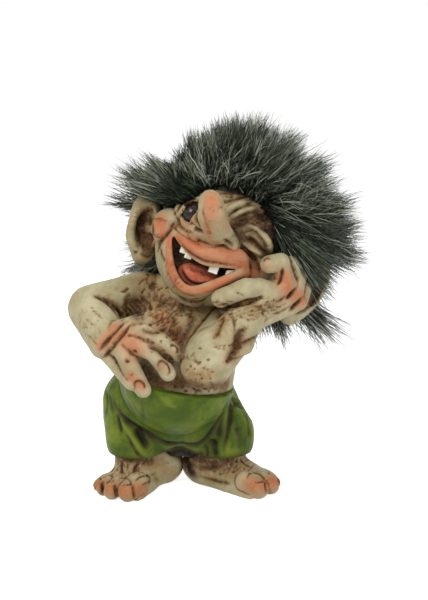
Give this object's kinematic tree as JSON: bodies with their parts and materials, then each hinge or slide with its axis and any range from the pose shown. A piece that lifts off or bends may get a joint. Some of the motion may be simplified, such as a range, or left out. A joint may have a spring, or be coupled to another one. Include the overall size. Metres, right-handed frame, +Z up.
{
  "type": "troll figurine",
  "caption": "Small standing troll figure that laughs with its head resting on one hand and the other hand on its belly, in knee-length trousers, with wild long hair.",
  "frame": {"origin": "on the standing surface, under the middle of the box round the figure", "axes": "+Z up, the troll looks along -Y, and +X is the troll's left, which a viewer in front sees on the right"},
  "size_m": [0.1232, 0.1016, 0.1563],
  "materials": {
    "skin": "painted ivory casting with brown washes in the creases and pink on cheeks, lips, nose and knuckles",
    "trousers": "satin green paint with a dark wash in the folds",
    "eye": "polished, near black",
    "tongue": "glossy red",
    "teeth": "glossy off-white",
    "wig_cap": "knitted fur backing, nearly black",
    "fur": "long artificial fur, greenish black with pale grey strands",
    "pin": "plain wire pin"
  },
  "bodies": {
    "root": {"torso": "skin", "trousers": "trousers", "right_foot": "skin", "left_foot": "skin", "right_arm": "skin", "left_arm": "skin", "right_hand": "skin", "left_hand": "skin", "head": "skin", "nose": "skin", "right_ear": "skin", "left_ear": "skin", "right_eye": "eye", "tongue": "tongue", "upper_teeth": "teeth", "wig_cap": "wig_cap", "right_shoulder_pin": "pin", "left_shoulder_pin": "pin", "right_wrist_pin": "pin", "left_wrist_pin": "pin", "right_ear_pin": "pin", "left_ear_pin": "pin", "nose_pin": "pin", "fur_left_side": "fur", "fur_left_nape": "fur", "fur_right_nape": "fur", "fur_right_side": "fur", "fur_right_brow": "fur", "fur_left_brow": "fur"}
  },
  "joints": []
}
